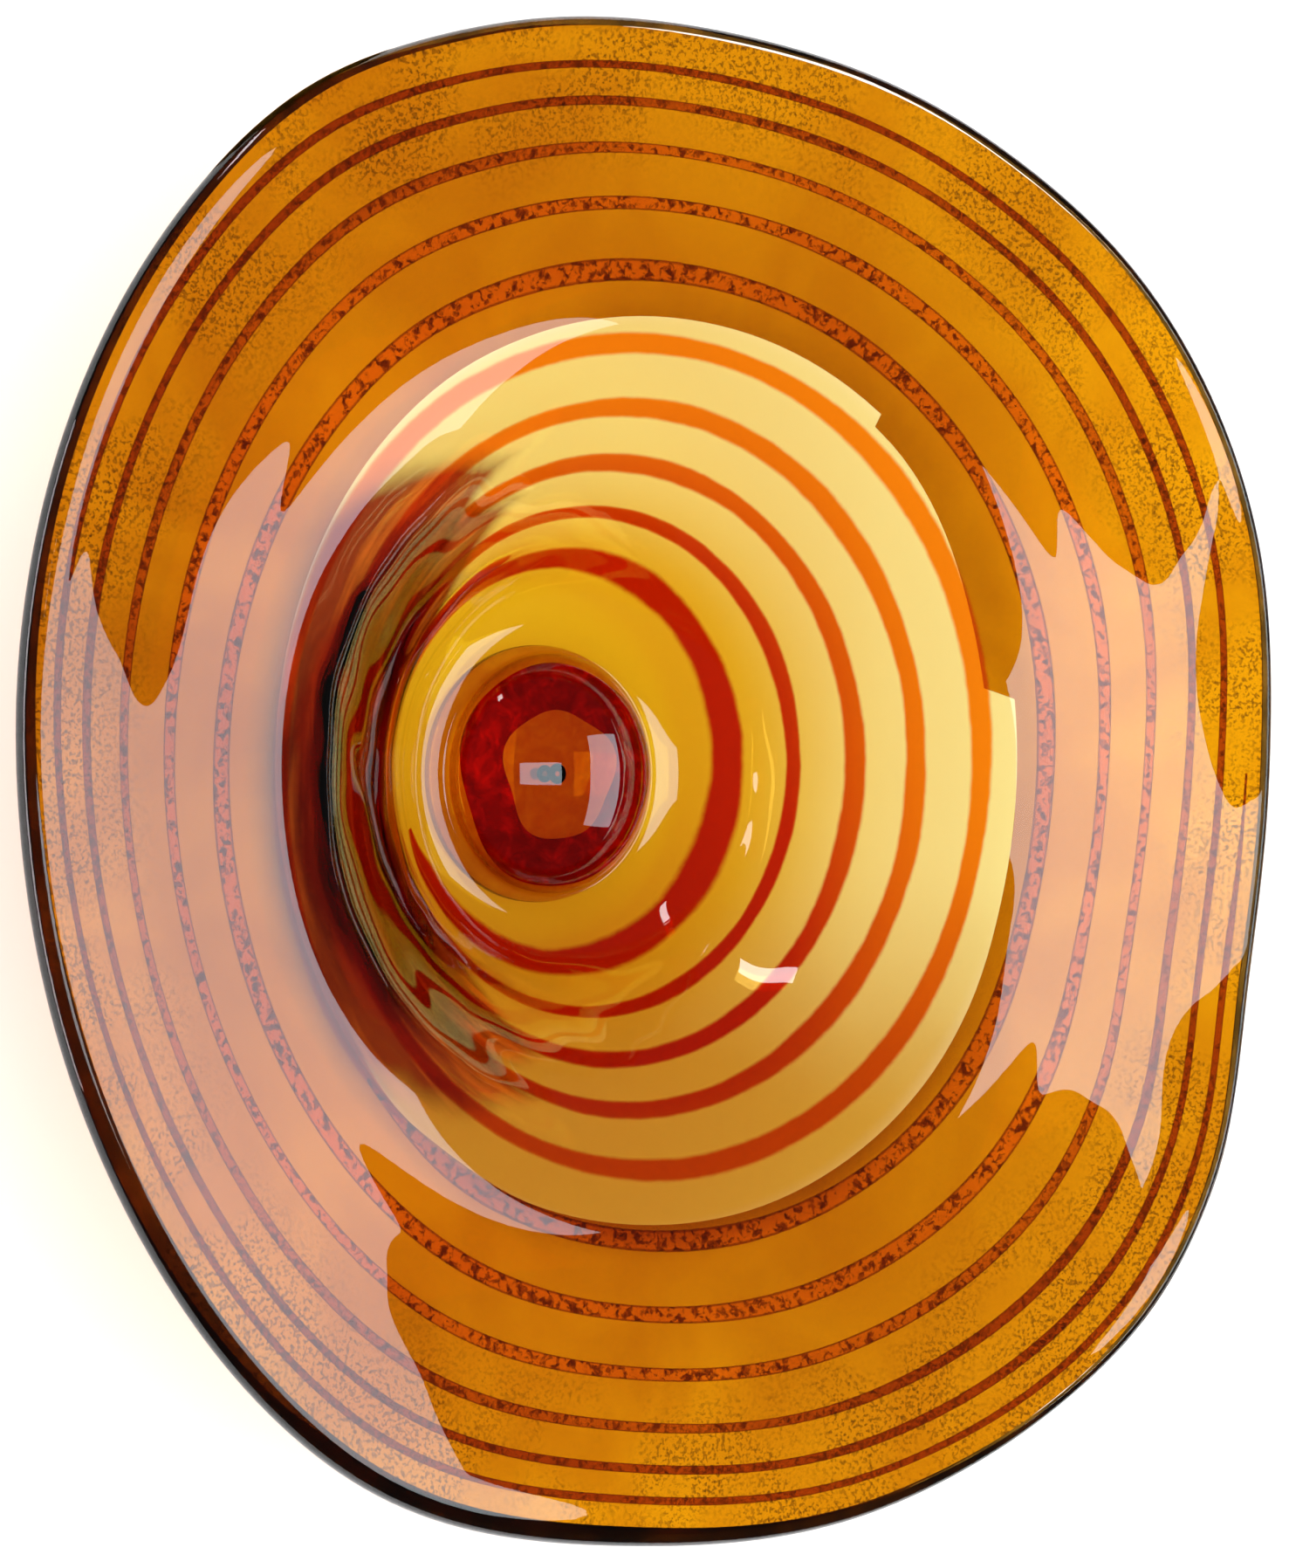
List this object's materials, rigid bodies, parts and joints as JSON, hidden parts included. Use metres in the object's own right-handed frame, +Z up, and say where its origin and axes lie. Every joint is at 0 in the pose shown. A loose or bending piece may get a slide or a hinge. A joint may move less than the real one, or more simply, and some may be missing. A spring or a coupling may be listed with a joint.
{
  "type": "art glass bowl",
  "caption": "Wide-brimmed blown glass bowl with a round well, a small flat foot, an amber brim and a spiral glass thread.",
  "frame": {"origin": "centre of the foot's flat resting face", "axes": "+Z up through the open top of the bowl, +Y along the long way of the brim, -Z out of the foot's resting face"},
  "size_m": [0.2949, 0.2959, 0.0694],
  "materials": {
    "straw_glass": "clear pale straw-yellow blown glass, fire polished",
    "amber_glass": "transparent amber glass, softly clouded",
    "orange_thread": "orange glass thread turning deep red towards the foot, soft edges",
    "mottled_thread": "mottled red-brown and orange glass thread with dark edges",
    "olive_lip": "dark olive-brown glass, fire polished",
    "button_glass": "clear amber glass dome with fine wrinkles and seeds",
    "red_glass": "deep ruby red glass",
    "foot_glass": "amber glass, ground flat below"
  },
  "bodies": {
    "root": {"bowl_wall": "straw_glass", "amber_overlay": "amber_glass", "well_trail": "orange_thread", "brim_trail": "mottled_thread", "lip_wrap": "olive_lip", "base_button": "button_glass", "red_collar": "red_glass", "foot_pad": "foot_glass"}
  },
  "joints": []
}
